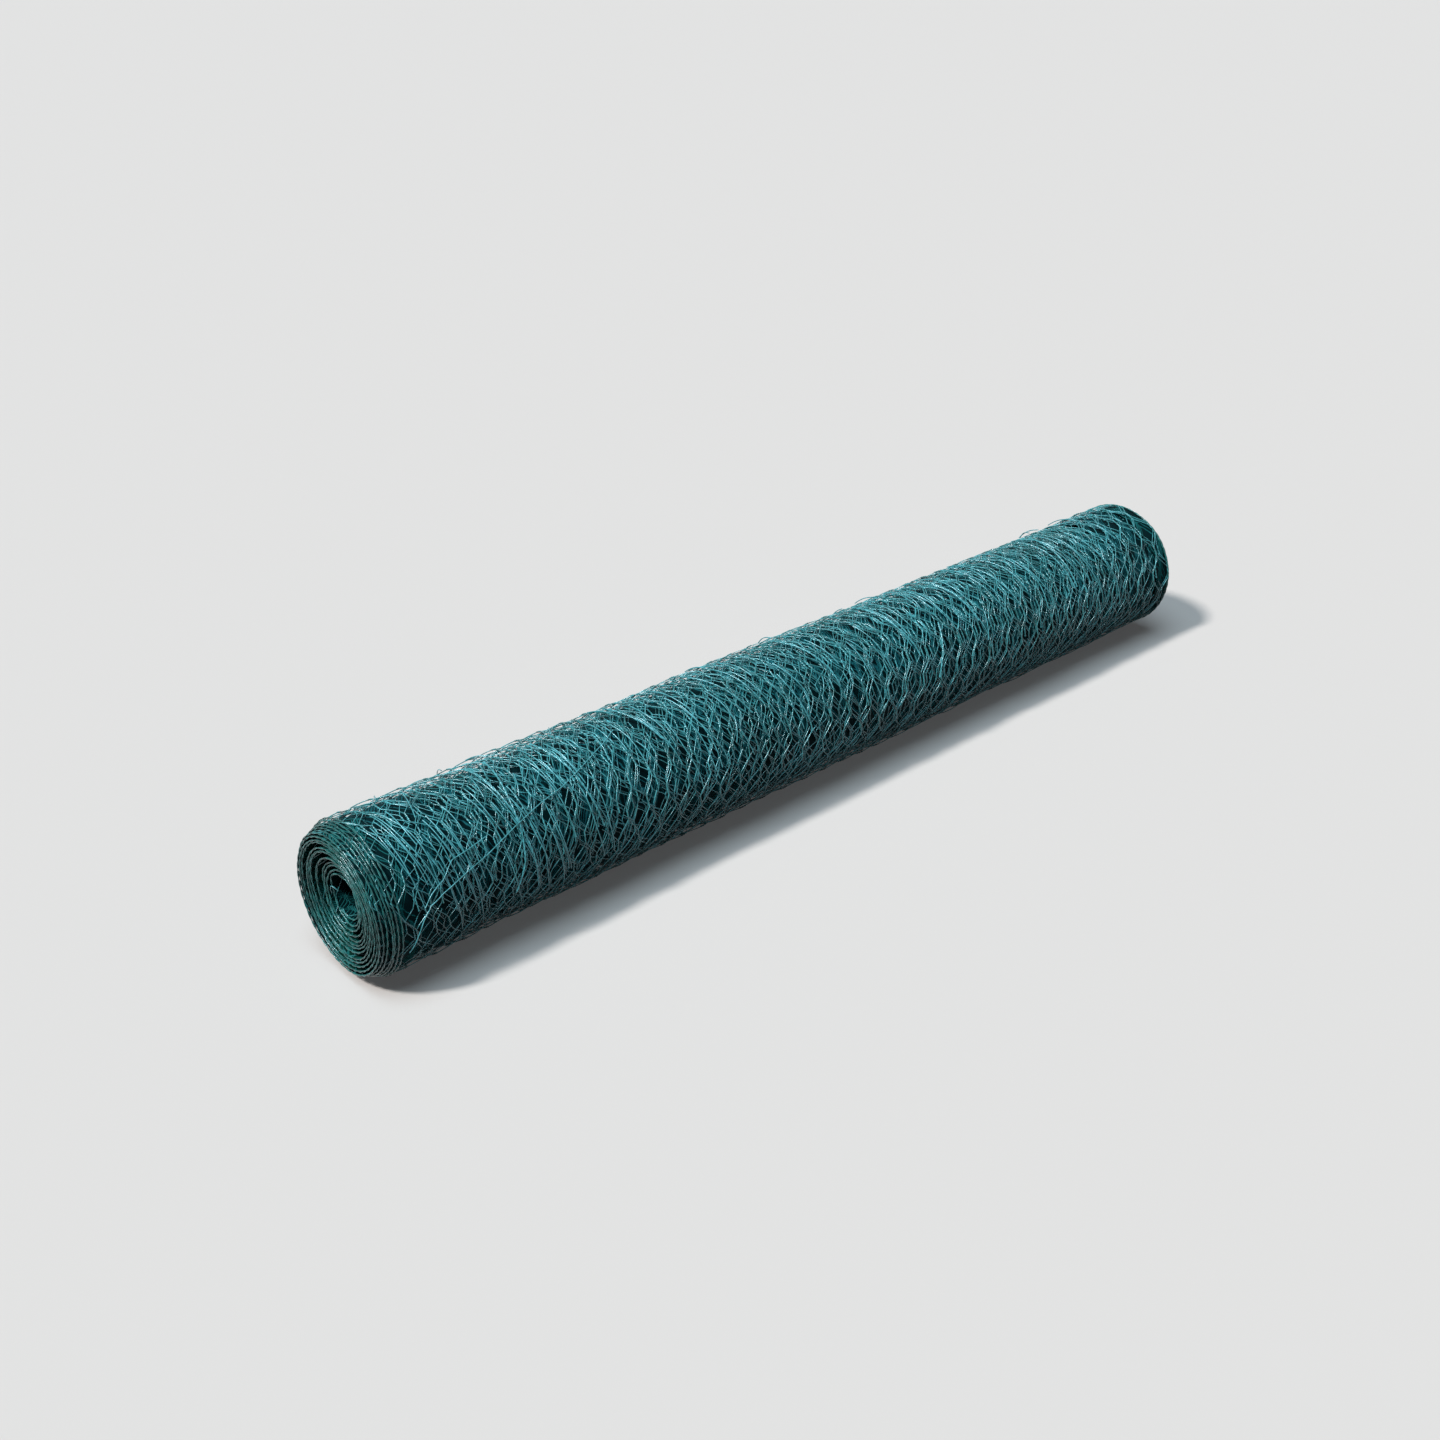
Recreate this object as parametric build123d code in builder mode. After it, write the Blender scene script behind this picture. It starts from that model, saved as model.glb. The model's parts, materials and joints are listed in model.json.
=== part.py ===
from build123d import *
import os

# Roll of coated hexagonal wire netting, lying on its side. Millimetres, +Z up.
# The roll's axis runs along X. The origin is on the floor under the middle of the roll.

# Overall size of the roll
netting_width = 1000.0
roll_diameter = 135.0
bore_diameter = 36.0

# Outermost turns, wound tight on each other, each with its edge further back than the turn inside it
rim_turns = 7
rim_pitch = 1.2
near_rim_step = 2.6
far_rim_step = 1.5

# Loose inner turns, whose edges sink towards the bore as a shallow funnel
loose_pitch = 3.4
funnel_depth = 8.0

# Each loose turn's edge is a narrow ridge, as wide as the selvedge wires, with a groove on its inner side
selvedge_width = 1.1
groove_depth = 5.0

roll_radius = roll_diameter / 2
bore_radius = bore_diameter / 2
half_width = netting_width / 2
lip_radius = roll_radius - rim_turns * rim_pitch
loose_turns = max(2, round((lip_radius - bore_radius) / loose_pitch))
loose_spacing = (lip_radius - bore_radius - selvedge_width) / (loose_turns - 1)


def rim_edge(rim_step):
    """Steps of the tight outer turns, as (set-back from the lip, radius) from the outside inwards."""
    points = []
    for turn in range(rim_turns, 0, -1):
        outer = lip_radius + turn * rim_pitch
        points.append((turn * rim_step, outer))
        points.append((turn * rim_step, outer - rim_pitch))
    return points


def loose_edge():
    """Ridges and grooves of the loose turns, as (set-back from the lip, radius) from the lip to the bore."""
    points = []
    for turn in range(loose_turns):
        inward = turn / (loose_turns - 1)
        crest = funnel_depth * inward**1.5
        outer = lip_radius - turn * loose_spacing
        points.append((crest, outer))
        points.append((crest, outer - selvedge_width))
        if turn < loose_turns - 1:
            points.append((crest + groove_depth, outer - (selvedge_width + loose_spacing) / 2))
    return points


def end_edge(rim_step):
    """One end of the roll from its outside to its bore."""
    return rim_edge(rim_step) + loose_edge()


near_end = [(-half_width + back, radius) for back, radius in end_edge(near_rim_step)]
far_end = [(half_width - back, radius) for back, radius in end_edge(far_rim_step)]

roll_plane = Plane(origin=(0, 0, roll_radius), x_dir=(1, 0, 0), z_dir=(0, -1, 0))
roll_axis = Axis((0, 0, roll_radius), (1, 0, 0))

with BuildPart() as netting_roll:
    with BuildSketch(roll_plane):
        with BuildLine():
            Polyline(*near_end, *reversed(far_end), close=True)
        make_face()
    revolve(axis=roll_axis)

netting_roll.part.label = "netting_roll"
os.makedirs("parts", exist_ok=True)
export_step(netting_roll.part, "parts/netting_roll.step")
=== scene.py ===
"""Looks of a wound roll of green coated hexagonal wire netting that lies on its side.

The netting is one strip, wound on itself as a spiral. Its wires are meshes: they twist round each other
in pairs, part, and twist with the wire on their other side. Wound strips among them, near-black sheets
of painted shade with deeper wires drawn on them, make the dense dark mass of the inside. The roll's axis
runs along X, and an angle round the roll is 0 on the side of -Y and 90 degrees at the top. Sizes are in
metres, unless a note beside them says otherwise.
"""

from __future__ import annotations

import json
import logging
import math
from dataclasses import dataclass, field
from enum import Enum
from typing import Any, Iterable, Union

import bpy
import bmesh
import numpy as np
from mathutils import Matrix, Vector

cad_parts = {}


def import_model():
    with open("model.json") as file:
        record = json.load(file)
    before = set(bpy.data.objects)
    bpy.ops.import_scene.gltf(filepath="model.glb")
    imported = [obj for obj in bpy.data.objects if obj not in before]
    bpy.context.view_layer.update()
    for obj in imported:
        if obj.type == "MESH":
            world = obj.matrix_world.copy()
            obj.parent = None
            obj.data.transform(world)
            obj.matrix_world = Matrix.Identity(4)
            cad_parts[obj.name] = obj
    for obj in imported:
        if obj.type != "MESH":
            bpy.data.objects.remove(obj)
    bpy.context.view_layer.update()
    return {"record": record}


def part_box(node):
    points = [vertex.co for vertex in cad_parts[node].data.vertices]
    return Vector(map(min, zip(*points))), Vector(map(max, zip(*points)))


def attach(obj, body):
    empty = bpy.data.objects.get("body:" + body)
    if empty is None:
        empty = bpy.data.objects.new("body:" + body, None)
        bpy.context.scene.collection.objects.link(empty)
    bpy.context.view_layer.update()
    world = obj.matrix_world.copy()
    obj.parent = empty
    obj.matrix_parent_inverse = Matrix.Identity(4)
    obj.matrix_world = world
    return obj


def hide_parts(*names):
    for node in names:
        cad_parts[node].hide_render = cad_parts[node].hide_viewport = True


log = logging.getLogger("netting_roll")

MM = 0.001
BODY = "root"
CAD_NODE = "netting_roll"
Number = Union[float, "Shade"]
Colour = tuple[float, float, float, float]
Span = tuple[float, float]
Corners = tuple[tuple[float, float], ...]


class Shade:
    """A value socket of a material, on which Python's operators add Math nodes."""

    def __init__(self, sheet: "NodeSheet", socket: bpy.types.NodeSocket) -> None:
        """Keeps the socket and the sheet that it is on."""
        self.sheet = sheet
        self.socket = socket

    def _math(self, operation: str, first: Number, second: Number) -> "Shade":
        """Adds one Math node.

        Args:
            operation: The node's operation.
            first: The left value.
            second: The right value.

        Returns:
            The node's result.
        """
        return self.sheet.add("ShaderNodeMath", {"operation": operation}, {0: first, 1: second})

    def __add__(self, other: Number) -> "Shade":
        """Returns self + other."""
        return self._math("ADD", self, other)

    __radd__ = __add__

    def __sub__(self, other: Number) -> "Shade":
        """Returns self - other."""
        return self._math("SUBTRACT", self, other)

    def __rsub__(self, other: Number) -> "Shade":
        """Returns other - self."""
        return self._math("SUBTRACT", other, self)

    def __mul__(self, other: Number) -> "Shade":
        """Returns self * other."""
        return self._math("MULTIPLY", self, other)

    __rmul__ = __mul__

    def clipped(self) -> "Shade":
        """Returns the value held between 0 and 1."""
        return self.sheet.add("ShaderNodeClamp", {}, {"Value": self})

    def beside(self, output: str) -> "Shade":
        """Returns another output of the same node."""
        return Shade(self.sheet, self.socket.node.outputs[output])


class NodeSheet:
    """The node tree of one material or of the world."""

    def __init__(self, tree: bpy.types.NodeTree) -> None:
        """Empties the tree."""
        self.tree = tree
        tree.nodes.clear()

    def add(self, kind: str, settings: dict[str, Any], inputs: dict[Union[int, str], Any],
            output: Union[int, str] = 0) -> Shade:
        """Adds a node of any type.

        Args:
            kind: The node's type.
            settings: The node's own properties.
            inputs: Values or links, by the socket's name or number.
            output: The socket that the result stands for.

        Returns:
            The chosen output.
        """
        node = self.tree.nodes.new(kind)
        for name, value in settings.items():
            setattr(node, name, value)
        for key, value in inputs.items():
            if isinstance(value, Shade):
                self.tree.links.new(value.socket, node.inputs[key])
            else:
                node.inputs[key].default_value = value
        return Shade(self, node.outputs[output] if len(node.outputs) else None)

    def mixed(self, amount: Number, low: Any, high: Any) -> Shade:
        """Returns the colour between low and high at the given amount."""
        settings = {"data_type": "RGBA", "clamp_factor": True}
        return self.add("ShaderNodeMix", settings, {0: amount, 6: low, 7: high}, output=2)

    def noise(self, place: Shade, scale: float, detail: float) -> Shade:
        """Returns cloudy noise at a place."""
        return self.add("ShaderNodeTexNoise", {}, {"Vector": place, "Scale": scale, "Detail": detail})

    def folded(self, value: Number) -> Shade:
        """Returns the value folded to and fro between 0 and 1."""
        return self.add("ShaderNodeMath", {"operation": "PINGPONG"}, {0: value, 1: 1.0})

    def plain_rays(self) -> Shade:
        """Tells the rays that should meet a plain surrounding from those that light the roll.

        Returns:
            1 for rays that come from the camera, are mirrored or are let through, and 0 for the others.
        """
        camera = self.add("ShaderNodeLightPath", {}, {}, output="Is Camera Ray")
        return (camera + camera.beside("Is Glossy Ray") + camera.beside("Is Transmission Ray")).clipped()


@dataclass(frozen=True)
class CoatedWire:
    """Glossy green plastic coat on wire, with cloudy differences of tone and of gloss."""

    name: str
    deep: Colour
    light: Colour
    roughness: float = 0.20
    gloss: float = 1.0
    # Painted reflection: the coat's highlights are tinted sky blue.
    sheen_tint: Colour = (0.66, 0.88, 1.0, 1.0)
    cloud_scale: float = 28.0
    cloud_contrast: float = 1.2
    streak_scale: float = 190.0
    streak_contrast: float = 2.0
    streak_roughness: float = 0.12
    tone_shift: float = 1.1
    grain_scale: float = 1400.0
    grain_strength: float = 0.2
    grain_height: float = 0.1 * MM
    coat: float = 0.35
    coat_roughness: float = 0.2

    def material(self) -> bpy.types.Material:
        """Makes the material.

        Returns:
            The material.
        """
        material = bpy.data.materials.new(self.name)
        material.use_nodes = True
        sheet = NodeSheet(material.node_tree)
        place = sheet.add("ShaderNodeTexCoord", {}, {}, output="Object")
        cloud = sheet.noise(place, self.cloud_scale, 3.0)
        streak = sheet.noise(place, self.streak_scale, 2.0)
        grain = sheet.noise(place, self.grain_scale, 2.0)
        tone = (cloud * self.cloud_contrast + streak * self.streak_contrast - self.tone_shift).clipped()
        bump = sheet.add("ShaderNodeBump", {}, {
            "Strength": self.grain_strength,
            "Distance": self.grain_height,
            "Height": grain,
        })
        sheet.add("ShaderNodeOutputMaterial", {}, {
            "Surface": sheet.add("ShaderNodeBsdfPrincipled", {}, {
                "Base Color": sheet.mixed(tone, self.deep, self.light),
                "Roughness": self.roughness + streak * self.streak_roughness,
                "Specular IOR Level": self.gloss,
                "Specular Tint": self.sheen_tint,
                "Coat Weight": self.coat,
                "Coat Roughness": self.coat_roughness,
                "Normal": bump,
            }),
        })
        return material


@dataclass(frozen=True)
class DeepNettingPaintedShade:
    """Painted shade of the inner turns: a near-black sheet with wires of the mesh drawn line beside line.

    Between lit_from and lit_to, in shares of the strip's length, the painted shade is a little lighter:
    painted light where the end's funnel faces the light.
    Each layer of wires has its shift along and across the mesh, and its weight.
    """

    name: str
    rows: float
    columns: float
    # Painted shade: near black between the drawn wires, which are dimmer than the lit wires above them.
    shade: Colour = (0.001, 0.013, 0.016, 1.0)
    wire: Colour = (0.027, 0.26, 0.31, 1.0)
    lit_shade: Colour = (0.003, 0.032, 0.025, 1.0)
    lit_from: float = 1.0
    lit_to: float = 1.0
    line_width: float = 1.0 / 15.0
    layers: tuple[tuple[float, float, float], ...] = (
        (0.0, 0.0, 1.0), (0.1, 0.06, 0.9), (0.2, 0.10, 0.75), (0.31, 0.18, 0.6),
        (0.62, 0.50, 0.8), (0.72, 0.55, 0.6), (0.83, 0.62, 0.5),
    )
    leg_steepness: float = 1.7
    cloud_scale: float = 45.0
    row_wobble: float = 0.6
    lane_wobble: float = 0.5
    lit_rise: float = 12.0
    lit_fall: float = 25.0
    bump_strength: float = 0.8
    bump_height: float = 1.0 * MM
    roughness: float = 0.6
    gloss: float = 0.04

    def _wires(self, sheet: NodeSheet, along: Shade, across: Shade) -> Shade:
        """Draws one layer of the mesh.

        Args:
            sheet: The material's nodes.
            along: Place along the netting, in rows of twists.
            across: Place across the netting, in lanes.

        Returns:
            1 on a wire and 0 between the wires.
        """
        swing = ((sheet.folded(along) - 0.5) * self.leg_steepness + 0.5).clipped()
        off = sheet.add("ShaderNodeMath", {"operation": "ABSOLUTE"}, {0: sheet.folded(across) - swing})
        return (1.0 - off * (1.0 / self.line_width)).clipped()

    def material(self) -> bpy.types.Material:
        """Makes the material.

        Returns:
            The material.
        """
        material = bpy.data.materials.new(self.name)
        material.use_nodes = True
        sheet = NodeSheet(material.node_tree)
        chart = sheet.add("ShaderNodeUVMap", {"uv_map": "netting"}, {})
        place = sheet.add("ShaderNodeTexCoord", {}, {}, output="Object")
        cloud = sheet.noise(place, self.cloud_scale, 2.0)
        length = sheet.add("ShaderNodeSeparateXYZ", {}, {"Vector": chart}, output="X")
        breadth = length.beside("Y")
        mass: Number = 0.0
        for along, across, weight in self.layers:
            rows = length * self.rows + (along * 2.0 + cloud * self.row_wobble)
            lanes = breadth * self.columns + (across * 2.0 + cloud * self.lane_wobble)
            layer = self._wires(sheet, rows, lanes) * weight
            mass = sheet.add("ShaderNodeMath", {"operation": "MAXIMUM"}, {0: layer, 1: mass})
        # Painted light: the painted shade is lighter between lit_from and lit_to, rising and falling at
        # its ends.
        risen = ((length - self.lit_from) * self.lit_rise).clipped()
        lit = risen * ((self.lit_to - length) * self.lit_fall).clipped()
        shade = sheet.mixed(lit, self.shade, self.lit_shade)
        bump = sheet.add("ShaderNodeBump", {}, {
            "Strength": self.bump_strength,
            "Distance": self.bump_height,
            "Height": mass,
        })
        sheet.add("ShaderNodeOutputMaterial", {}, {
            "Surface": sheet.add("ShaderNodeBsdfPrincipled", {}, {
                "Base Color": sheet.mixed(mass, shade, self.wire),
                "Roughness": self.roughness,
                "Specular IOR Level": self.gloss,
                "Normal": bump,
            }),
        })
        return material


@dataclass(frozen=True)
class PaleFloor:
    """Plain pale floor that looks white to the camera and throws back only part of the light."""

    name: str = "pale_floor"
    seen: Colour = (0.62, 0.575, 0.563, 1.0)
    thrown: Colour = (0.02, 0.025, 0.02, 1.0)
    glow_colour: Colour = (0.59, 0.59, 0.60, 1.0)
    glow: float = 0.10
    unlit: Colour = (0.0, 0.0, 0.0, 1.0)
    roughness: float = 0.9
    gloss: float = 0.1

    def material(self) -> bpy.types.Material:
        """Makes the material.

        Returns:
            The material.
        """
        material = bpy.data.materials.new(self.name)
        material.use_nodes = True
        sheet = NodeSheet(material.node_tree)
        plain = sheet.plain_rays()
        sheet.add("ShaderNodeOutputMaterial", {}, {
            "Surface": sheet.add("ShaderNodeBsdfPrincipled", {}, {
                "Base Color": sheet.mixed(plain, self.thrown, self.seen),
                "Roughness": self.roughness,
                "Specular IOR Level": self.gloss,
                "Emission Color": sheet.mixed(plain, self.unlit, self.glow_colour),
                "Emission Strength": self.glow,
            }),
        })
        return material


class Waviness:
    """Smooth unevenness over the netting, made of seeded plane waves."""

    def __init__(self, seed: int, shortest: float, longest: float, count: int = 24) -> None:
        """Draws the waves.

        Args:
            seed: Seed of the random numbers.
            shortest: Shortest wavelength.
            longest: Longest wavelength.
            count: Number of waves.
        """
        draw = np.random.default_rng(seed)
        length = np.exp(draw.uniform(math.log(shortest), math.log(longest), count))
        heading = draw.uniform(0.0, 2.0 * math.pi, count)
        self.along = np.cos(heading) * 2.0 * math.pi / length
        self.across = np.sin(heading) * 2.0 * math.pi / length
        self.phase = draw.uniform(0.0, 2.0 * math.pi, count)
        self.share = (length / longest) ** 0.5
        self.share /= math.sqrt(float((self.share**2).sum()) / 2.0)

    def at(self, along: np.ndarray, across: np.ndarray) -> np.ndarray:
        """Works out the height of the waves.

        Args:
            along: Place along the netting, or any other first direction.
            across: Place across it.

        Returns:
            The height at each place, of about unit spread.
        """
        total = np.zeros(np.broadcast(along, across).shape)
        for a, b, p, s in zip(self.along, self.across, self.phase, self.share):
            total += s * np.sin(a * along + b * across + p)
        return total


@dataclass
class RollForm:
    """The wound spiral: how far out, how far round and how far back each stretch of the netting lies.

    A place along the netting is its turn: 0 at the bore, and the number of turns at the free end.
    Twelve loose turns lie inside seven tight ones, and the innermost tight turn is the lip that stands
    out furthest. Angles are in degrees.
    """

    half_width: float
    outer_radius: float
    bore_radius: float
    rim_turns: float = 7.0
    rim_pitch: float = 1.2 * MM
    near_rim_step: float = 2.6 * MM
    far_rim_step: float = 1.5 * MM
    loose_turns: float = 12.0
    funnel_depth: float = 8.0 * MM
    funnel_bend: float = 1.5
    layer_depth: float = 1.3 * MM
    middle_pitch: float = 1.0 * MM
    middle_crowding: float = 0.4
    swell_start: float = 0.3
    end_reach: float = 60.0 * MM
    free_end_angle: float = -118.0
    bore_lift: float = 3.5 * MM
    bore_squash: float = 0.07
    squash_angle: float = 115.0
    common_share: float = 0.55
    own_share: float = 0.35
    own_spacing: float = 0.35
    wave_reach: Span = (0.07, 0.05)
    outermost_bump: float = 0.4 * MM
    edge_ripple: float = 0.9 * MM
    ripple_spacing: float = 0.25
    far_ripple_place: float = 3.0
    common_wave: Waviness = field(default_factory=lambda: Waviness(11, 0.07, 0.35))
    own_wave: Waviness = field(default_factory=lambda: Waviness(12, 0.05, 0.25))
    ring_wave: Waviness = field(default_factory=lambda: Waviness(14, 0.5, 2.0, 9))
    ring_stray: float = 1.2 * MM
    edge_wave: Waviness = field(default_factory=lambda: Waviness(13, 0.05, 0.4))

    @property
    def turns(self) -> float:
        """The number of turns."""
        return self.loose_turns + self.rim_turns

    @property
    def lip_radius(self) -> float:
        """The radius of the turn that stands out furthest."""
        return self.outer_radius - self.rim_turns * self.rim_pitch

    def angle(self, turn: np.ndarray) -> np.ndarray:
        """Returns the angle round the roll, in radians."""
        return math.radians(self.free_end_angle) - (self.turns - turn) * 2.0 * math.pi

    def plain_radius(self, turn: np.ndarray) -> np.ndarray:
        """Works out the spiral's radius at the netting's ends.

        Args:
            turn: Place along the netting, in turns.

        Returns:
            The radius at the middle of the netting's thickness.
        """
        loose = (self.lip_radius - self.bore_radius) / self.loose_turns
        stray = np.sin(math.pi * np.clip(turn / self.loose_turns, 0.0, 1.0)) * self.ring_stray
        inner = self.bore_radius + turn * loose + stray * self.ring_wave.at(turn, np.zeros_like(turn))
        outer = self.lip_radius + (turn - self.loose_turns) * self.rim_pitch
        return np.where(turn < self.loose_turns, inner, outer) - self.layer_depth

    def swell(self, turn: np.ndarray, across: np.ndarray) -> np.ndarray:
        """Works out how much further out than at its edges the netting lies in the middle of its width.

        Args:
            turn: Place along the netting, in turns.
            across: Place across the netting, from 0 at its near edge to 1 at its far edge.

        Returns:
            The height above the spiral of the ends.
        """
        lip = self.outer_radius - self.rim_turns * self.middle_pitch
        share = np.clip(turn / self.loose_turns, 0.0, 1.0)
        loose = self.bore_radius + (lip - self.bore_radius) * share**self.middle_crowding
        rim = lip + (turn - self.loose_turns) * self.middle_pitch
        middle = np.where(turn < self.loose_turns, loose, rim) - self.layer_depth
        inside = np.minimum(across, 1.0 - across) * 2.0 * self.half_width
        start = self.rim_turns * self.near_rim_step * self.swell_start
        blend = np.clip((inside - start) / self.end_reach, 0.0, 1.0)
        return (middle - self.plain_radius(turn)) * blend * blend * (3.0 - 2.0 * blend)

    def set_back(self, turn: np.ndarray, step: float) -> np.ndarray:
        """Works out how far the netting's edge lies behind the lip.

        Args:
            turn: Place along the netting, in turns.
            step: How far each tight turn stands back behind the one inside it.

        Returns:
            The distance along X.
        """
        rim = np.clip(turn - self.loose_turns, 0.0, None) * step
        inward = np.clip(1.0 - turn / self.loose_turns, 0.0, 1.0)
        return rim + self.funnel_depth * inward**self.funnel_bend

    def edges(self, turn: np.ndarray) -> tuple[np.ndarray, np.ndarray]:
        """Finds the netting's edges.

        Args:
            turn: Place along the netting, in turns.

        Returns:
            The near and the far edge along X.
        """
        length = turn * self.ripple_spacing
        near_wave = self.edge_ripple * self.edge_wave.at(length, np.zeros_like(turn))
        far_wave = self.edge_ripple * self.edge_wave.at(length, np.full_like(turn, self.far_ripple_place))
        near = -self.half_width + self.set_back(turn, self.near_rim_step) + np.abs(near_wave)
        far = self.half_width - self.set_back(turn, self.far_rim_step) - np.abs(far_wave)
        return near, far

    def place(self, turn: np.ndarray, across: np.ndarray, lift: np.ndarray) -> np.ndarray:
        """Finds points of the netting in the roll's frame.

        Args:
            turn: Place along the netting, in turns.
            across: Place across the netting, from 0 at its near edge to 1 at its far edge.
            lift: Height above the netting's middle.

        Returns:
            The points, with a last axis of three.
        """
        near, far = self.edges(turn)
        x = near + across * (far - near)
        angle = self.angle(turn)
        radius = self.plain_radius(turn) + self.swell(turn, across)
        depth = np.clip(radius / self.outer_radius, 0.0, 1.0)
        upward, sideward = self.wave_reach
        common = self.common_wave.at(x, np.sin(angle) * upward + np.cos(angle) * sideward)
        own = self.own_wave.at(x, turn * self.own_spacing)
        bump = (self.common_share * common * depth + self.own_share * own) * MM
        inward = np.clip(1.0 - turn / self.loose_turns, 0.0, 1.0)
        squash = 1.0 + self.bore_squash * inward * np.cos(2.0 * (angle - math.radians(self.squash_angle)))
        outermost = self.outer_radius - self.layer_depth + self.outermost_bump
        reach = np.minimum(radius * squash + bump, outermost) + lift
        y = -reach * np.cos(angle)
        z = self.outer_radius + reach * np.sin(angle) + self.bore_lift * inward
        return np.stack([x, y, z], axis=-1)


def add_piece(name: str, mesh: bpy.types.Mesh, material: bpy.types.Material) -> bpy.types.Object:
    """Puts a mesh in the scene as a piece that rides with the roll.

    Args:
        name: Name of the piece.
        mesh: The mesh, in its place.
        material: Finish of the piece.

    Returns:
        The mesh object.
    """
    mesh.name = name
    mesh.materials.clear()
    mesh.materials.append(material)
    made = bpy.data.objects.new(name, mesh)
    bpy.context.scene.collection.objects.link(made)
    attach(made, BODY)
    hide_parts(CAD_NODE)
    log.info("%s: %d triangles", name, sum(len(face.vertices) - 2 for face in mesh.polygons))
    return made


class Detail(Enum):
    """How finely a wire is drawn: segments in a twist and in a leg, and turns in a twist."""

    FINE = (6, 4, 1.5)
    MIDDLE = (4, 3, 1.0)
    PLAIN = (1, 1, 0.0)


class WireMaker:
    """Makes one mesh piece out of many wires."""

    def __init__(self, name: str, radius: float, sides: int = 4) -> None:
        """Starts a curve that carries the wires.

        Args:
            name: Name of the piece.
            radius: Radius of the wire with its coat.
            sides: Sides of the wire's section, 4 or more and even.
        """
        self.curve = bpy.data.curves.new(name, "CURVE")
        self.curve.dimensions = "3D"
        self.curve.bevel_depth = radius
        self.curve.bevel_resolution = (sides - 4) // 2
        self.curve.use_fill_caps = True
        self.name = name

    def lay(self, points: np.ndarray) -> None:
        """Adds one wire.

        Args:
            points: The points that it runs through.
        """
        spline = self.curve.splines.new("POLY")
        spline.points.add(len(points) - 1)
        four = np.ones((len(points), 4), dtype=np.float32)
        four[:, :3] = points
        spline.points.foreach_set("co", four.ravel())
        spline.use_smooth = True

    def piece(self, wires: Iterable[np.ndarray], material: bpy.types.Material) -> bpy.types.Object:
        """Turns wires into a mesh piece that rides with the roll.

        Args:
            wires: The points of each wire.
            material: Finish of the piece.

        Returns:
            The mesh object.
        """
        for wire in wires:
            self.lay(wire)
        carrier = bpy.data.objects.new(self.name + "_lines", self.curve)
        bpy.context.scene.collection.objects.link(carrier)
        bpy.context.view_layer.update()
        drawn = carrier.evaluated_get(bpy.context.evaluated_depsgraph_get())
        mesh = bpy.data.meshes.new_from_object(drawn)
        bpy.data.objects.remove(carrier)
        bpy.data.curves.remove(self.curve)
        return add_piece(self.name, mesh, material)


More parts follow.
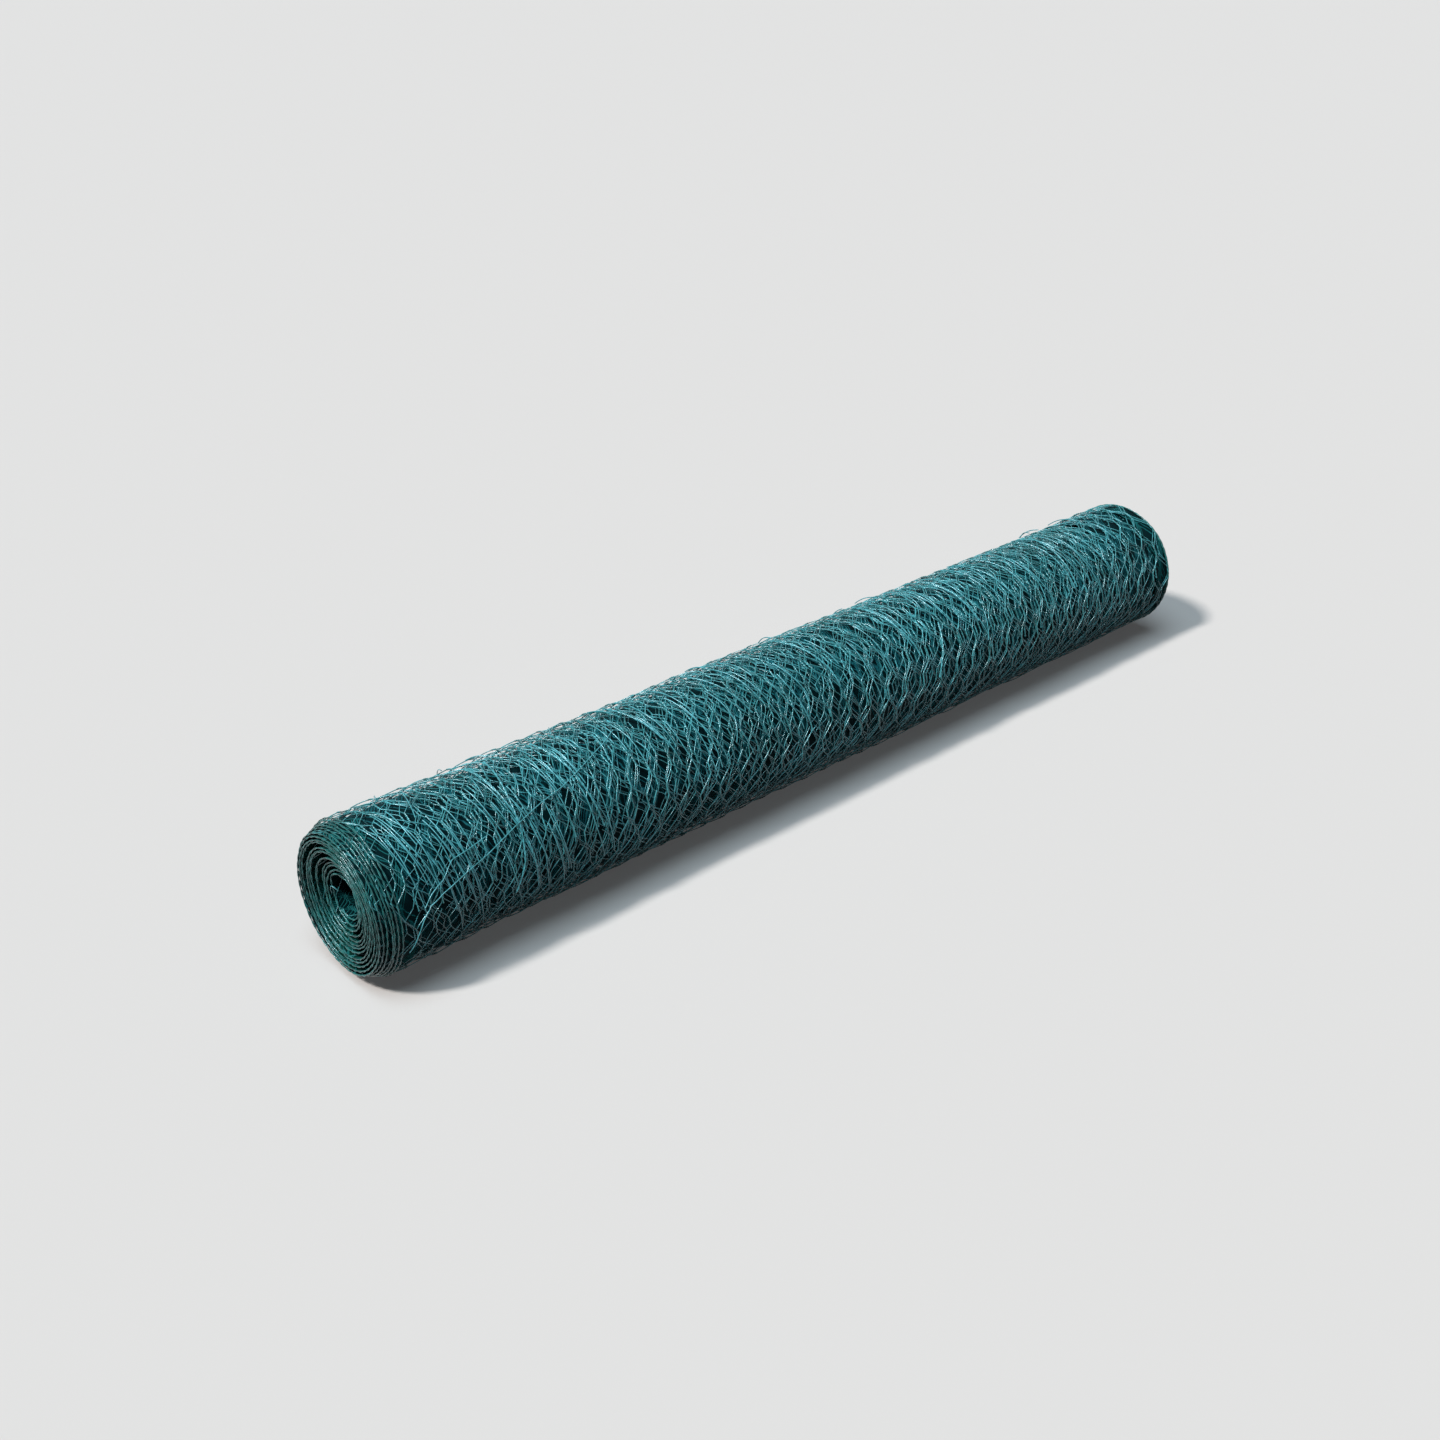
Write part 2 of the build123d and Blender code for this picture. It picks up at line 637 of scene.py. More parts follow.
@dataclass
class HexNetting:
    """The strip of netting: wires that twist in pairs, row after row round the roll.

    Twists lie in rows along the netting and in columns across it. Every twist strays a little with its
    row and a little by itself. Over one turn, slipped_turns below the free end, the rows gain slip_rows.
    """

    form: RollForm
    mesh_size: float = 25.0 * MM
    row_pitch: float = 25.0 * MM
    rim_rows_per_turn: float = 16.1
    slipped_turns: float = 3.4
    slip_rows: float = 0.62
    spare_rows: int = 3
    table_steps: int = 4000
    twist_length: float = 10.0 * MM
    wire_radius: float = 0.42 * MM
    row_stray: float = 1.3 * MM
    own_stray: float = 0.55 * MM
    row_tilt: float = 0.12
    own_tilt: float = 0.03
    bow_height: float = 0.35 * MM
    grip_gap: float = 1.02
    sway: float = 2.2 * MM
    sway_fade: float = 25.0
    common_sway: float = 1.3
    common_reach: float = 0.02
    slide: float = 0.09
    ease: float = 0.3
    drift_rows: float = 0.5
    drift_from: float = 0.10
    drift_to: float = 0.60
    edge_drift_rows: float = 0.25
    edge_drift_to: float = 0.09
    seed: int = 5
    side_wave: Waviness = field(default_factory=lambda: Waviness(21, 0.14, 0.50))
    side_common: Waviness = field(default_factory=lambda: Waviness(22, 0.20, 0.60))
    row_wave: Waviness = field(default_factory=lambda: Waviness(23, 0.20, 0.80))
    row_table: np.ndarray = field(init=False)
    turn_table: np.ndarray = field(init=False)
    rows: int = field(init=False)
    columns: int = field(init=False)
    stray_across: np.ndarray = field(init=False)
    stray_along: np.ndarray = field(init=False)
    tilt: np.ndarray = field(init=False)
    bow: np.ndarray = field(init=False)

    def __post_init__(self) -> None:
        """Works out where the rows of twists lie and how each twist strays from its even place."""
        steps = np.linspace(0.0, self.form.turns, self.table_steps)
        loose_rows = 2.0 * math.pi * self.form.plain_radius(steps) / self.row_pitch
        rows_per_turn = np.where(steps < self.form.loose_turns, loose_rows, self.rim_rows_per_turn)
        slip = np.abs(self.form.turns - self.slipped_turns - 0.5 - steps) < 0.5
        rows_per_turn = rows_per_turn + self.slip_rows * slip
        gained = (rows_per_turn[1:] + rows_per_turn[:-1]) / 2.0 * np.diff(steps)
        self.row_table = np.concatenate([[0.0], np.cumsum(gained)])
        self.turn_table = steps
        self.rows = int(self.row_table[-1])
        self.columns = 2 * round(2.0 * self.form.half_width / self.mesh_size)
        draw = np.random.default_rng(self.seed)
        self.stray_across = self._strays(draw, self.row_stray, self.own_stray)
        self.stray_along = self._strays(draw, self.row_stray / 2.0, self.own_stray)
        self.tilt = self._strays(draw, self.row_tilt, self.own_tilt)
        self.stray_across[:, [0, -1]] = 0.0
        self.bow = draw.normal(0.0, self.bow_height, (self.rows + self.spare_rows, self.columns))

    def _strays(self, draw: np.random.Generator, of_row: float, of_twist: float) -> np.ndarray:
        """Draws a random value for each twist, of which one share is the same along its row.

        Args:
            draw: The source of random numbers.
            of_row: Spread of the rows.
            of_twist: Spread of the twists in a row.

        Returns:
            The values, by row and column.
        """
        count = self.rows + self.spare_rows
        return draw.normal(0.0, of_row, (count, 1)) + draw.normal(0.0, of_twist, (count, self.columns + 1))

    def turn_of(self, row: np.ndarray) -> np.ndarray:
        """Returns the turn at which a row of twists lies."""
        return np.interp(row, self.row_table, self.turn_table)

    def row_of(self, turn: float) -> int:
        """Returns the first row past a turn."""
        return int(np.interp(turn, self.turn_table, self.row_table))

    def wires(self, first: int, last: int, detail: Detail) -> list[np.ndarray]:
        """Draws every wire between two rows.

        Args:
            first: First row of twists.
            last: Row at which the wires end.
            detail: How finely the wires are drawn.

        Returns:
            One array of points for each wire.
        """
        twist_steps, leg_steps, twist_turns = detail.value
        half = self.twist_length / self.row_pitch / 2.0
        rows = np.arange(first, last)[:, None, None]
        number = np.arange(self.columns)[None, :, None]
        inside = np.linspace(0.0, 1.0, twist_steps + 1)
        leg = np.arange(1, leg_steps) / leg_steps
        eased = (1.0 - self.ease) * leg + self.ease * leg * leg * (3.0 - 2.0 * leg)
        odd = (rows + number) % 2
        column = number + odd
        side = 1.0 - 2.0 * odd
        next_column = number + 1 - odd
        lane = 1.0 / self.columns
        grip = self.wire_radius * self.grip_gap
        width = 2.0 * self.form.half_width

        # The twist, in which both wires of a pair turn round its middle. Adding zero times an array only
        # gives the sum that array's shape.
        stray_across = self.stray_across[rows, column]
        stray_along = self.stray_along[rows, column] / self.row_pitch
        centre = column * lane + stray_across / width
        turned = 2.0 * math.pi * twist_turns * inside
        twist_row = rows + stray_along + (inside * 2.0 - 1.0) * half
        lean = self.tilt[rows, column] * (inside * 2.0 - 1.0) * self.twist_length / 2.0
        twist_across = centre + (side * grip * np.cos(turned) + lean) / width
        twist_lift = side * grip * np.sin(turned) + 0.0 * twist_row

        # The leg, from the end of this twist to the start of the next row's.
        next_across = next_column * lane + self.stray_across[rows + 1, next_column] / width
        next_row = rows + 1 + self.stray_along[rows + 1, next_column] / self.row_pitch
        leave_row, leave_across = twist_row[..., -1:], twist_across[..., -1:]
        arrive_row = next_row - half
        arrive_across = next_across - side * grip / width
        leg_row = leave_row + (arrive_row - leave_row) * leg
        leg_across = leave_across + (arrive_across - leave_across) * eased
        bow = self.bow[rows, number] * np.sin(np.pi * leg)
        leg_lift = bow + 0.0 * leg_row

        # The whole wire: each twist with the leg that follows it.
        row = np.concatenate([twist_row + 0.0 * twist_across, leg_row], axis=2)
        across = np.concatenate([twist_across, leg_across], axis=2)
        lift = np.concatenate([twist_lift, leg_lift], axis=2)
        points = self._laid(row, across, lift)
        return [points[:, wire].reshape(-1, 3) for wire in range(self.columns)]

    def _laid(self, row: np.ndarray, across: np.ndarray, lift: np.ndarray) -> np.ndarray:
        """Lays points of the netting on the spiral, with the netting's own sway.

        Args:
            row: Place along the netting, in rows.
            across: Place across the netting, from 0 to 1.
            lift: Height above the netting's middle.

        Returns:
            The points in the roll's frame.
        """
        along = row * self.row_pitch
        wide = across * 2.0 * self.form.half_width
        turn = self.turn_of(row)
        fade = np.clip(np.minimum(across, 1.0 - across) * self.sway_fade, 0.0, 1.0)
        common = self.side_common.at(self.form.angle(turn) * self.common_reach, wide)
        sway = self.side_wave.at(along, wide) + self.common_sway * common
        shifted = across + fade * self.sway * sway / (2.0 * self.form.half_width)
        slid = row + self.slide * self.row_wave.at(along, wide) + self._drift(turn, across)
        return self.form.place(self.turn_of(slid), shifted, lift)

    def _drift(self, turn: np.ndarray, across: np.ndarray) -> np.ndarray:
        """Works out how far a turn is out of step with the outermost one.

        The turns lie row over row beside the near end and in the far part, and fall out of step between
        them and at the near edge.

        Args:
            turn: Place along the netting, in turns.
            across: Place across the netting, from 0 to 1.

        Returns:
            The lag, in rows.
        """
        place = np.clip((across - self.drift_from) / (self.drift_to - self.drift_from), 0.0, 1.0)
        lag = np.minimum(self.form.turns - turn, self.form.rim_turns)
        lag = lag * np.clip(turn / self.form.loose_turns, 0.0, 1.0)
        at_edge = np.clip(1.0 - across / self.edge_drift_to, 0.0, 1.0) ** 2
        return (self.drift_rows * np.sin(math.pi * place) ** 2 + self.edge_drift_rows * at_edge) * lag


@dataclass
class Selvedge:
    """The two wires twisted round each other along one edge of the netting."""

    form: RollForm
    near: bool
    wire_radius: float = 0.43 * MM
    twist_pitch: float = 18.0 * MM
    steps_per_twist: int = 6
    length_steps: int = 6000

    def wires(self) -> list[np.ndarray]:
        """Draws the two wires from the bore to the free end.

        Returns:
            One array of points for each wire.
        """
        fine = np.linspace(0.0, self.form.turns, self.length_steps)
        pace = np.gradient(fine) * 2.0 * math.pi * self.form.plain_radius(fine)
        length = np.concatenate([[0.0], np.cumsum(pace[1:])])
        count = int(length[-1] / self.twist_pitch * self.steps_per_twist)
        turn = np.interp(np.linspace(0.0, length[-1], count), length, fine)
        turned = np.arange(count) / self.steps_per_twist * 2.0 * math.pi
        edge = 0.0 if self.near else 1.0
        width = 2.0 * self.form.half_width
        both = []
        for side in (1.0, -1.0):
            across = edge + side * self.wire_radius * np.cos(turned) / width
            lift = side * self.wire_radius * np.sin(turned)
            both.append(self.form.place(turn, across, lift))
        return both


@dataclass
class InnerTurns:
    """Dense mass among the wires as painted shade: wound strips in the middle of the netting's thickness.
    """

    form: RollForm
    middle_turns: float = 11.5
    side_turns: float = 14.6
    side_reach: float = 75.0 * MM
    side_lanes: int = 6
    end_turns: float = 16.6
    end_width: float = 20.0 * MM
    steps_per_turn: int = 44
    lanes: int = 16
    end_lanes: int = 5
    from_edge: float = 0.8 * MM
    # From the bore to lit_turn the end strips keep their full painted shade; beyond it it is lighter.
    lit_turn: float = 1.5

    def _strip(self, name: str, turns: float, start: float, end: float, lanes: int,
               material: bpy.types.Material) -> bpy.types.Object:
        """Winds one strip from the bore outwards.

        Args:
            name: Name of the piece.
            turns: Number of turns.
            start: Where the strip starts across the netting, from 0 to 1.
            end: Where it ends across the netting.
            lanes: Faces across the strip.
            material: Finish of the strip.

        Returns:
            The mesh object.
        """
        shape = bmesh.new()
        shape.loops.layers.uv.new("netting")
        steps = int(self.steps_per_turn * turns)
        bmesh.ops.create_grid(shape, x_segments=steps, y_segments=lanes, size=0.5, calc_uvs=True)
        flat = np.array([vertex.co for vertex in shape.verts])
        across = start + (flat[:, 1] + 0.5) * (end - start)
        wound = self.form.place((flat[:, 0] + 0.5) * turns, across, np.zeros(len(flat)))
        for vertex, point in zip(shape.verts, wound):
            vertex.co = point
        # Winding leaves the grid's faces pointing at the bore.
        bmesh.ops.reverse_faces(shape, faces=shape.faces[:])
        for face in shape.faces:
            face.smooth = True
        mesh = bpy.data.meshes.new(name)
        shape.to_mesh(mesh)
        shape.free()
        return add_piece(name, mesh, material)

    def _finishes(self, netting: HexNetting) -> tuple[DeepNettingPaintedShade, DeepNettingPaintedShade, DeepNettingPaintedShade]:
        """Chooses the finishes, with the mesh's rows and columns as closely spaced as the netting's.

        Args:
            netting: The strip of netting.

        Returns:
            The finishes of the middle strip, of the strips beside it and of the end strips.
        """
        half = self.form.half_width
        middle_columns = netting.columns * (1.0 - self.side_reach / half)
        side_columns = netting.columns * (self.side_reach - self.end_width) / half / 2.0
        end_columns = netting.columns * self.end_width / half / 2.0
        return (
            DeepNettingPaintedShade("deep_netting_painted_shade", netting.row_of(self.middle_turns), middle_columns),
            # The side strips' drawn wires are dimmer still: more painted shade.
            DeepNettingPaintedShade("deep_side_netting_painted_shade", netting.row_of(self.side_turns), side_columns,
                        wire=(0.020, 0.20, 0.24, 1.0), line_width=1.0 / 16.0),
            DeepNettingPaintedShade("deep_end_netting_painted_shade", netting.row_of(self.end_turns), end_columns,
                        wire=(0.025, 0.26, 0.27, 1.0), lit_from=self.lit_turn / self.end_turns,
                        lit_to=self.form.loose_turns / self.end_turns),
        )

    def pieces(self, netting: HexNetting) -> list[bpy.types.Object]:
        """Winds the middle strip, a strip on each side of it and the two end strips.

        Args:
            netting: The strip of netting.

        Returns:
            The mesh objects.
        """
        middle, sides, ends = (finish.material() for finish in self._finishes(netting))
        edge = self.from_edge / (2.0 * self.form.half_width)
        inside = self.end_width / (2.0 * self.form.half_width)
        reach = self.side_reach / (2.0 * self.form.half_width)
        return [
            self._strip("inner_turns", self.middle_turns, reach, 1.0 - reach, self.lanes, middle),
            self._strip("near_side_turns", self.side_turns, inside, reach, self.side_lanes, sides),
            self._strip("far_side_turns", self.side_turns, 1.0 - reach, 1.0 - inside, self.side_lanes,
                        sides),
            self._strip("near_end_turns", self.end_turns, edge, inside, self.end_lanes, ends),
            self._strip("far_end_turns", self.end_turns, 1.0 - inside, 1.0 - edge, self.end_lanes, ends),
        ]


@dataclass(frozen=True)
class ArcBand:
    """A band of fine arcs: how many, where they start in shares of the roll's length, and their angles."""

    count: int
    places: Span
    tops: Span


@dataclass
class LooseWires:
    """Wires that lie on top of the roll: pulled-out ends, long strands, small loops and fine arcs.

    A corner is its distance from the near end and its angle round the roll, in millimetres and degrees.
    A corner of the bore's hook is its place from the near end's foot, in millimetres. Spans, steps and
    pitches are in millimetres and degrees as well, but for the places of loops, which are shares of the
    roll's length. An arc slants by so many metres for each degree, and its waves start at a phase in
    radians.
    """

    form: RollForm
    wire_radius: float = 0.47 * MM
    end_wire: Corners = (
        (22.0, -17.0), (29.0, -6.0), (35.0, 4.0), (43.0, 11.5), (56.0, 16.0), (80.0, 22.5), (105.0, 28.6),
        (134.0, 37.5), (164.0, 44.9), (187.0, 48.9), (215.0, 57.0), (245.0, 66.7), (262.0, 74.0),
    )
    short_wire: Corners = (
        (38.0, 12.0), (46.0, 19.0), (58.0, 24.0), (72.0, 34.0), (88.0, 36.0), (106.0, 39.0),
    )
    strands: tuple[Corners, ...] = (
        ((131.0, 96.0), (134.0, 84.0), (136.0, 60.0), (139.0, 40.0), (133.0, 12.0), (122.0, -8.0)),
        ((150.0, 97.0), (146.0, 78.0), (141.0, 58.0), (138.0, 40.0), (142.0, 14.0), (144.0, -10.0)),
        ((195.0, 96.0), (197.0, 86.7), (202.0, 66.0), (205.0, 55.0), (208.0, 38.0), (212.9, 12.7)),
        ((280.0, 104.0), (283.0, 94.0), (289.0, 76.0), (291.4, 70.9), (297.0, 54.0), (302.5, 47.0)),
        ((370.0, 104.0), (373.0, 94.0), (384.3, 69.7), (391.4, 51.5), (394.0, 44.0)),
        ((478.0, 104.0), (482.0, 90.0), (490.0, 70.0), (496.0, 52.0), (498.0, 36.0)),
        ((586.0, 104.0), (588.5, 88.0), (594.0, 66.0), (601.5, 42.0), (603.0, 32.0)),
        ((643.0, 51.5), (634.3, 32.1), (627.0, 20.0), (621.4, 9.0)),
        ((676.0, 104.0), (681.4, 90.3), (685.7, 68.4), (688.6, 53.9), (691.4, 39.4)),
        ((757.0, 104.0), (762.9, 89.0), (768.6, 69.7), (771.4, 45.4)),
        ((826.0, 100.0), (830.0, 79.4), (832.9, 61.2), (835.7, 32.0)),
        ((843.0, 100.0), (841.4, 84.0), (840.0, 60.0), (839.3, 32.0)),
    )
    bore_hook: tuple[tuple[float, float, float], ...] = (
        (8.0, 19.8, 66.0), (6.5, 18.4, 71.5), (5.5, 15.6, 75.5),
        (5.0, 12.4, 77.4), (6.0, 10.0, 76.2), (8.0, 9.0, 73.5),
    )
    end_height: float = 1.2 * MM
    end_rise: float = 0.3 * MM
    end_kink: float = 0.35 * MM
    end_steps: int = 3
    strand_step: float = 2.2
    strand_pitch: float = 9.0
    strand_height: float = 0.6 * MM
    loops: int = 46
    loop_points: int = 9
    loop_places: Span = (0.04, 0.95)
    loop_angles: Span = (20.0, 165.0)
    loop_shifts: Span = (-12.0, 12.0)
    loop_reaches: Span = (14.0, 30.0)
    loop_heights: Span = (0.5, 2.2)
    arcs_over_top: ArcBand = ArcBand(52, (0.14, 0.93), (60.0, 118.0))
    arcs_near_end: ArcBand = ArcBand(46, (0.022, 0.22), (24.0, 92.0))
    arc_reaches: Span = (28.0, 70.0)
    arc_step: float = 3.0
    arc_slant: float = 0.20 * MM
    arc_slant_stray: float = 0.06 * MM
    arc_waves: Span = (0.4, 1.4)
    arc_wave_reach: float = 9.0
    arc_wave_starts: Span = (0.0, 6.0)
    arc_heights: Span = (0.3, 1.0)
    arc_sink: float = 0.6 * MM
    seed: int = 31

    def _point(self, along: np.ndarray, angle: np.ndarray, height: np.ndarray) -> np.ndarray:
        """Finds points over the outermost turn.

        Args:
            along: Distance from the near end.
            angle: Angle round the roll, in radians.
            height: Height above the outermost turn.

        Returns:
            The points in the roll's frame.
        """
        radius = self.form.outer_radius - self.wire_radius + height
        upright = self.form.outer_radius + radius * np.sin(angle)
        return np.stack([along - self.form.half_width, -radius * np.cos(angle), upright], axis=-1)

    def _run(self, line: Corners, seed: int) -> np.ndarray:
        """Draws a wire through corners, with small kinks.

        Args:
            line: The corners.
            seed: Seed of the kinks.

        Returns:
            The points.
        """
        draw = np.random.default_rng(seed)
        knots = np.array(line)
        t = np.linspace(0.0, len(knots) - 1.0, (len(knots) - 1) * self.end_steps + 1)
        along = np.interp(t, np.arange(len(knots)), knots[:, 0]) * MM
        angle = np.radians(np.interp(t, np.arange(len(knots)), knots[:, 1]))
        along = along + draw.normal(0.0, self.end_kink, len(t))
        height = self.end_height + np.abs(draw.normal(0.0, self.end_rise, len(t)))
        return self._point(along, angle, height)

    def wires(self) -> list[np.ndarray]:
        """Draws all loose wires.

        Returns:
            One array of points for each wire.
        """
        ends = [self._run(self.end_wire, self.seed), self._run(self.short_wire, self.seed + 1)]
        return [*ends, self._hook(), *self._strands(), *self._loops(), *self._arcs()]

    def _hook(self) -> np.ndarray:
        """Returns the bent end of the innermost wire, which stands in the bore's near mouth."""
        return np.array(self.bore_hook) * MM - np.array([self.form.half_width, 0.0, 0.0])

    def _strands(self) -> list[np.ndarray]:
        """Draws the long pairs of twisted wires that run round the roll.

        Returns:
            One array of points for each wire.
        """
        laid = []
        for strand in self.strands:
            knots = np.array(strand)
            reach = np.concatenate([[0.0], np.cumsum(np.abs(np.diff(knots[:, 1])))])
            t = np.linspace(0.0, reach[-1], int(reach[-1] / self.strand_step))
            along = np.interp(t, reach, knots[:, 0]) * MM
            angle = np.radians(np.interp(t, reach, knots[:, 1]))
            turned = t / self.strand_pitch * 2.0 * math.pi
            for side in (1.0, -1.0):
                grip = side * self.wire_radius
                height = self.strand_height + grip * np.sin(turned)
                laid.append(self._point(along + grip * np.cos(turned), angle, height))
        return laid

    def _loops(self) -> list[np.ndarray]:
        """Draws the small loops that stand off the top and the sides.

        Returns:
            One array of points for each loop.
        """
        draw = np.random.default_rng(self.seed + 3)
        laid = []
        for _ in range(self.loops):
            start = draw.uniform(*self.loop_places) * 2.0 * self.form.half_width
            angle = math.radians(draw.uniform(*self.loop_angles))
            bend = np.linspace(0.0, 1.0, self.loop_points)
            along = start + bend * draw.uniform(*self.loop_shifts) * MM
            round_roll = angle + bend * math.radians(draw.uniform(*self.loop_reaches))
            height = np.sin(math.pi * bend) * draw.uniform(*self.loop_heights) * MM
            laid.append(self._point(along, round_roll, height))
        return laid

    def _arcs(self) -> list[np.ndarray]:
        """Draws the long fine arcs that run round the roll, where the outer turn's cells are drawn out.

        Returns:
            One array of points for each arc.
        """
        draw = np.random.default_rng(self.seed + 4)
        laid = []
        for band in (self.arcs_over_top, self.arcs_near_end):
            for _ in range(band.count):
                start = draw.uniform(*band.places) * 2.0 * self.form.half_width
                first = draw.uniform(*band.tops)
                reach = draw.uniform(*self.arc_reaches)
                bend = np.linspace(0.0, 1.0, int(reach / self.arc_step))
                slant = (self.arc_slant + draw.normal(0.0, self.arc_slant_stray)) * reach
                swing = draw.uniform(*self.arc_waves) * MM
                turned = bend * reach / self.arc_wave_reach + draw.uniform(*self.arc_wave_starts)
                height = np.sin(math.pi * bend) * draw.uniform(*self.arc_heights) * MM - self.arc_sink
                angle = np.radians(first - reach * bend)
                laid.append(self._point(start + slant * bend + swing * np.sin(turned), angle, height))
        return laid


@dataclass(frozen=True)
class Lamp:
    """A soft distant lamp: where its light comes from, the angle across it in degrees, and its light."""

    name: str
    heading: tuple[float, float, float]
    spread: float
    strength: float
    colour: tuple[float, float, float]


@dataclass
class Studio:
    """Plain pale floor, soft light and the camera at the photograph's viewing angle."""

    camera_place: tuple[float, float, float] = (-1.058, -1.054, 0.853)
    camera_aim: tuple[float, float, float] = (0.0069, 0.1174, 0.0)
    lens: float = 45.0
    sensor_width: float = 36.0
    nearest: float = 10.0 * MM
    floor_size: float = 30.0
    lamps: tuple[Lamp, ...] = (
        Lamp("key_light", (-0.61, 0.12, 0.78), 7.5, 3.1, (1.0, 0.99, 0.95)),
        Lamp("sky_light", (-0.25, -0.10, 0.96), 38.0, 1.65, (0.70, 0.90, 1.0)),
    )
    surroundings: Colour = (0.86, 0.94, 1.0, 1.0)
    fill: float = 0.01
    backdrop: float = 0.62

    def build(self) -> None:
        """Sets up floor, lights, world and camera."""
        self._floor()
        self._world()
        for lamp in self.lamps:
            self._light(lamp)
        self._camera()
        bpy.context.scene.view_settings.view_transform = "Standard"

    def _floor(self) -> None:
        """Makes the floor."""
        shape = bmesh.new()
        bmesh.ops.create_grid(shape, x_segments=1, y_segments=1, size=self.floor_size / 2.0)
        mesh = bpy.data.meshes.new("floor")
        shape.to_mesh(mesh)
        shape.free()
        mesh.materials.append(PaleFloor().material())
        floor = bpy.data.objects.new("floor", mesh)
        bpy.context.scene.collection.objects.link(floor)

    def _world(self) -> None:
        """Makes the surroundings: soft fill on the object, pale where they are seen."""
        world = bpy.data.worlds.new("studio")
        bpy.context.scene.world = world
        world.use_nodes = True
        sheet = NodeSheet(world.node_tree)
        plain = sheet.plain_rays()
        sheet.add("ShaderNodeOutputWorld", {}, {
            "Surface": sheet.add("ShaderNodeBackground", {}, {
                "Color": self.surroundings,
                "Strength": self.fill + plain * (self.backdrop - self.fill),
            }),
        })

    def _light(self, lamp: Lamp) -> None:
        """Adds a lamp.

        Args:
            lamp: The lamp.
        """
        data = bpy.data.lights.new(lamp.name, "SUN")
        data.angle = math.radians(lamp.spread)
        data.energy = lamp.strength
        data.color = lamp.colour
        made = bpy.data.objects.new(lamp.name, data)
        made.matrix_world = self._facing(Vector(lamp.heading), Vector((0.0, 0.0, 0.0)))
        bpy.context.scene.collection.objects.link(made)

    def _camera(self) -> None:
        """Adds the camera."""
        data = bpy.data.cameras.new("camera")
        data.lens = self.lens
        data.sensor_width = self.sensor_width
        data.clip_start = self.nearest
        camera = bpy.data.objects.new("camera", data)
        camera.matrix_world = self._facing(Vector(self.camera_place), Vector(self.camera_aim))
        bpy.context.scene.collection.objects.link(camera)
        bpy.context.scene.camera = camera

    @staticmethod
    def _facing(place: Vector, aim: Vector) -> Matrix:
        """Returns the placing of a thing at place that looks at aim, upright."""
        turn = (aim - place).to_track_quat("-Z", "Y")
        return Matrix.Translation(place) @ turn.to_matrix().to_4x4()


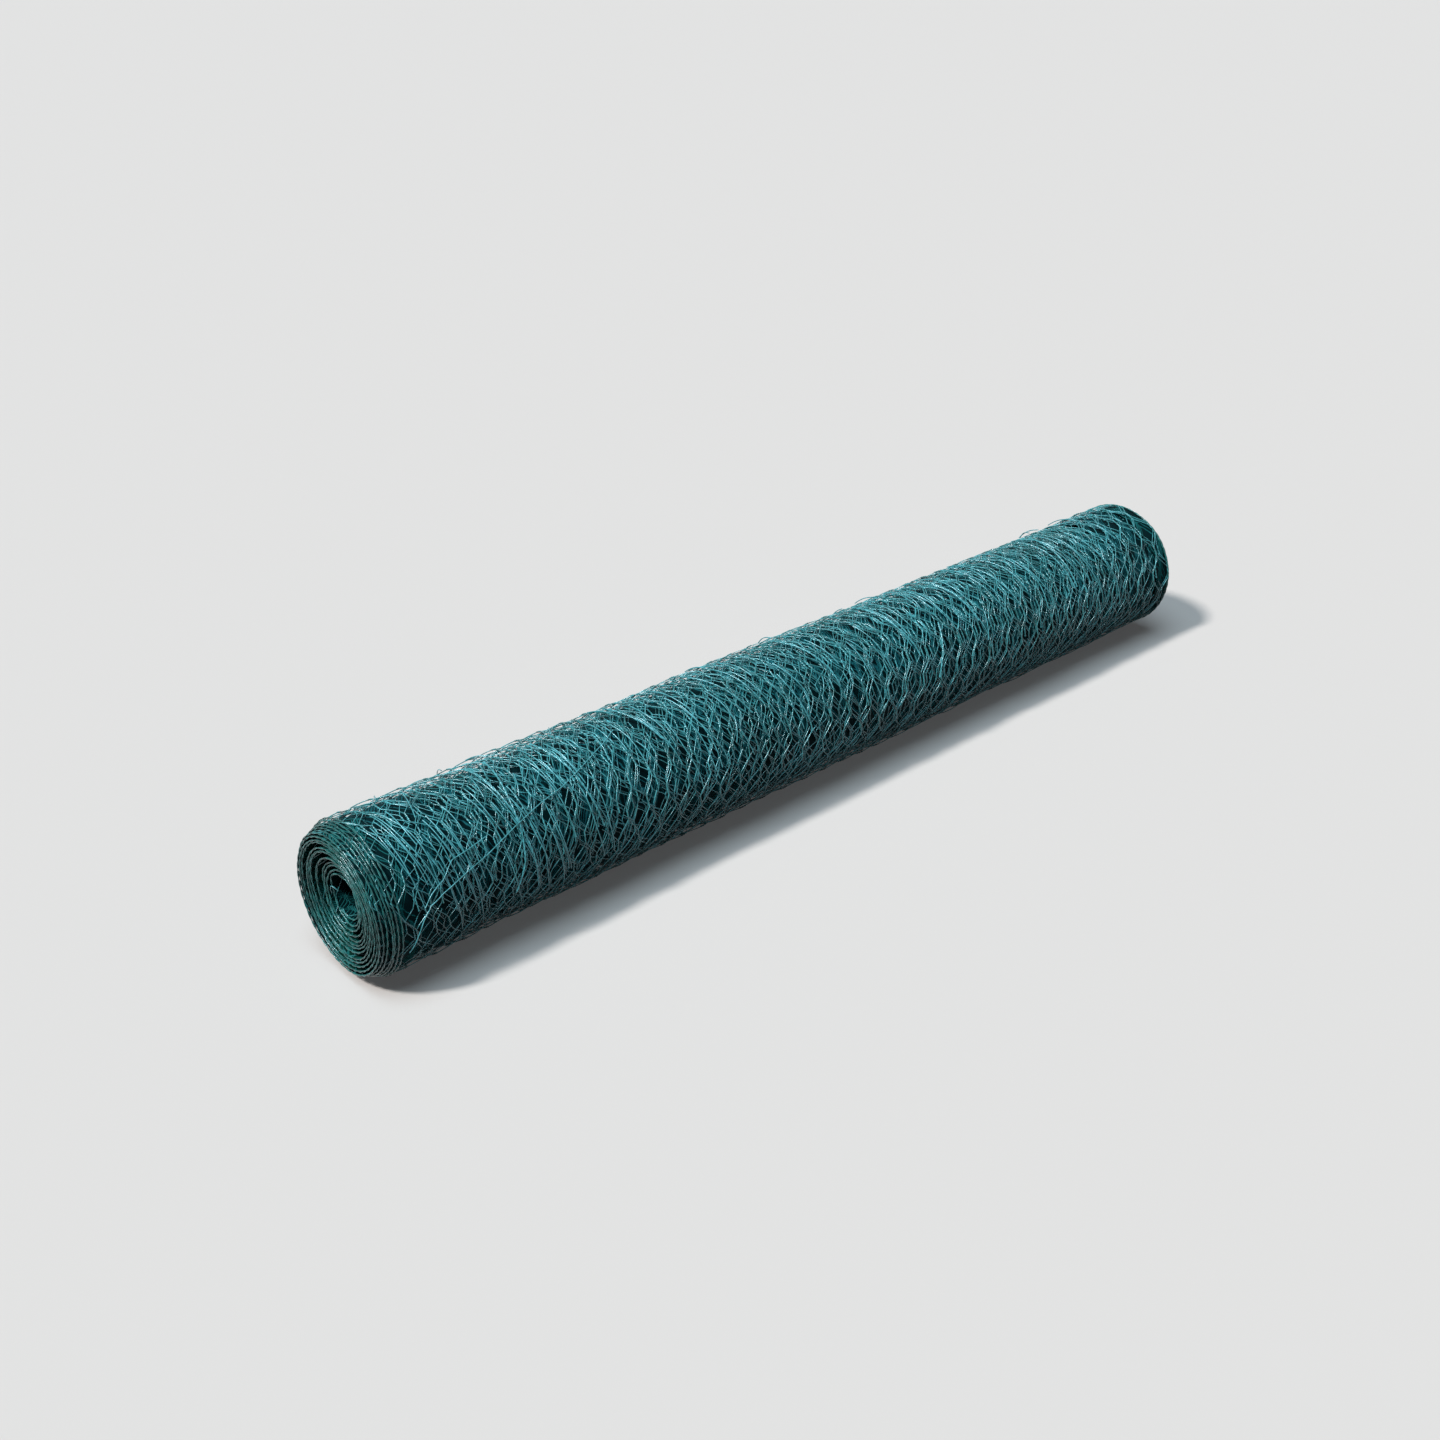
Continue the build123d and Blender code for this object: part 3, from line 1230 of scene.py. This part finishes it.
@dataclass
class NettingRoll:
    """The whole roll: wires of the netting, dense inside, selvedges and loose wires.

    The outermost outer_turns and the second turns down to second_turns are drawn finely, the rest more
    plainly the deeper it lies. The lip's wires reach lip_turns above the loose turns.
    """

    form: RollForm
    outer_turns: float = 1.6
    second_turns: float = 3.2
    lip_turns: float = 1.9
    # Painted shade: the finishes grow darker from the outer turn inwards, most of all on the inside turns.
    outer_finish: CoatedWire = CoatedWire("coated_wire", (0.010, 0.105, 0.098, 1.0),
                                          (0.088, 0.47, 0.53, 1.0))
    second_finish: CoatedWire = CoatedWire("coated_wire_second", (0.009, 0.096, 0.090, 1.0),
                                           (0.078, 0.43, 0.49, 1.0))
    tight_finish: CoatedWire = CoatedWire("coated_wire_tight", (0.009, 0.092, 0.086, 1.0),
                                          (0.073, 0.42, 0.48, 1.0))
    inside_finish_painted_shade: CoatedWire = CoatedWire("coated_wire_inside_painted_shade", (0.004, 0.06, 0.06, 1.0),
                                           (0.026, 0.24, 0.26, 1.0))
    # The selvedges' coat is darker than the netting's: painted shade on the roll's ends.
    edge_finish_painted_shade: CoatedWire = CoatedWire("coated_wire_edge_painted_shade", (0.003, 0.045, 0.038, 1.0),
                                         (0.022, 0.21, 0.20, 1.0), gloss=0.8)
    # The loose wires' coat is lighter than the netting's: painted light on wires that lie on top of the
    # roll.
    loose_finish_painted_light: CoatedWire = CoatedWire("coated_wire_loose_painted_light", (0.022, 0.19, 0.21, 1.0),
                                          (0.09, 0.45, 0.52, 1.0))

    def build(self) -> None:
        """Makes every piece of the roll."""
        netting = HexNetting(self.form)
        self._netting(netting)
        InnerTurns(self.form).pieces(netting)
        edge = self.edge_finish_painted_shade.material()
        for name, near in (("near_selvedge", True), ("far_selvedge", False)):
            selvedge = Selvedge(self.form, near)
            WireMaker(name, selvedge.wire_radius).piece(selvedge.wires(), edge)
        loose = LooseWires(self.form)
        maker = WireMaker("loose_wires", loose.wire_radius, sides=6)
        maker.piece(loose.wires(), self.loose_finish_painted_light.material())

    def _netting(self, netting: HexNetting) -> None:
        """Makes the pieces of the netting, from its free end to the bore.

        Args:
            netting: The strip of netting.
        """
        second = netting.row_of(self.form.turns - self.outer_turns)
        tight = netting.row_of(self.form.turns - self.second_turns)
        lip = netting.row_of(self.form.loose_turns + self.lip_turns)
        loose = netting.row_of(self.form.loose_turns)
        tight_material = self.tight_finish.material()
        for name, first, end, detail, material in (
            ("netting_outer_turn", second, netting.rows, Detail.FINE, self.outer_finish.material()),
            ("netting_second_turns", tight, second, Detail.FINE, self.second_finish.material()),
            ("netting_tight_turns", lip, tight, Detail.MIDDLE, tight_material),
            ("netting_lip_turns", loose, lip, Detail.MIDDLE, tight_material),
            ("netting_loose_turns", 0, loose, Detail.PLAIN, self.inside_finish_painted_shade.material()),
        ):
            WireMaker(name, netting.wire_radius).piece(netting.wires(first, end, detail), material)


def main() -> None:
    """Builds the roll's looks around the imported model."""
    logging.basicConfig(level=logging.INFO, format="%(name)s %(message)s")
    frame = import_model()
    low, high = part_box(CAD_NODE)
    bore = next(mount for mount in frame["record"]["mounts"] if mount["name"] == "bore")
    NettingRoll(RollForm(
        half_width=(high.x - low.x) / 2.0,
        outer_radius=(high.z - low.z) / 2.0,
        bore_radius=bore["dims"]["r_mm"] * MM,
    )).build()
    Studio().build()


if __name__ == "__main__":
    main()
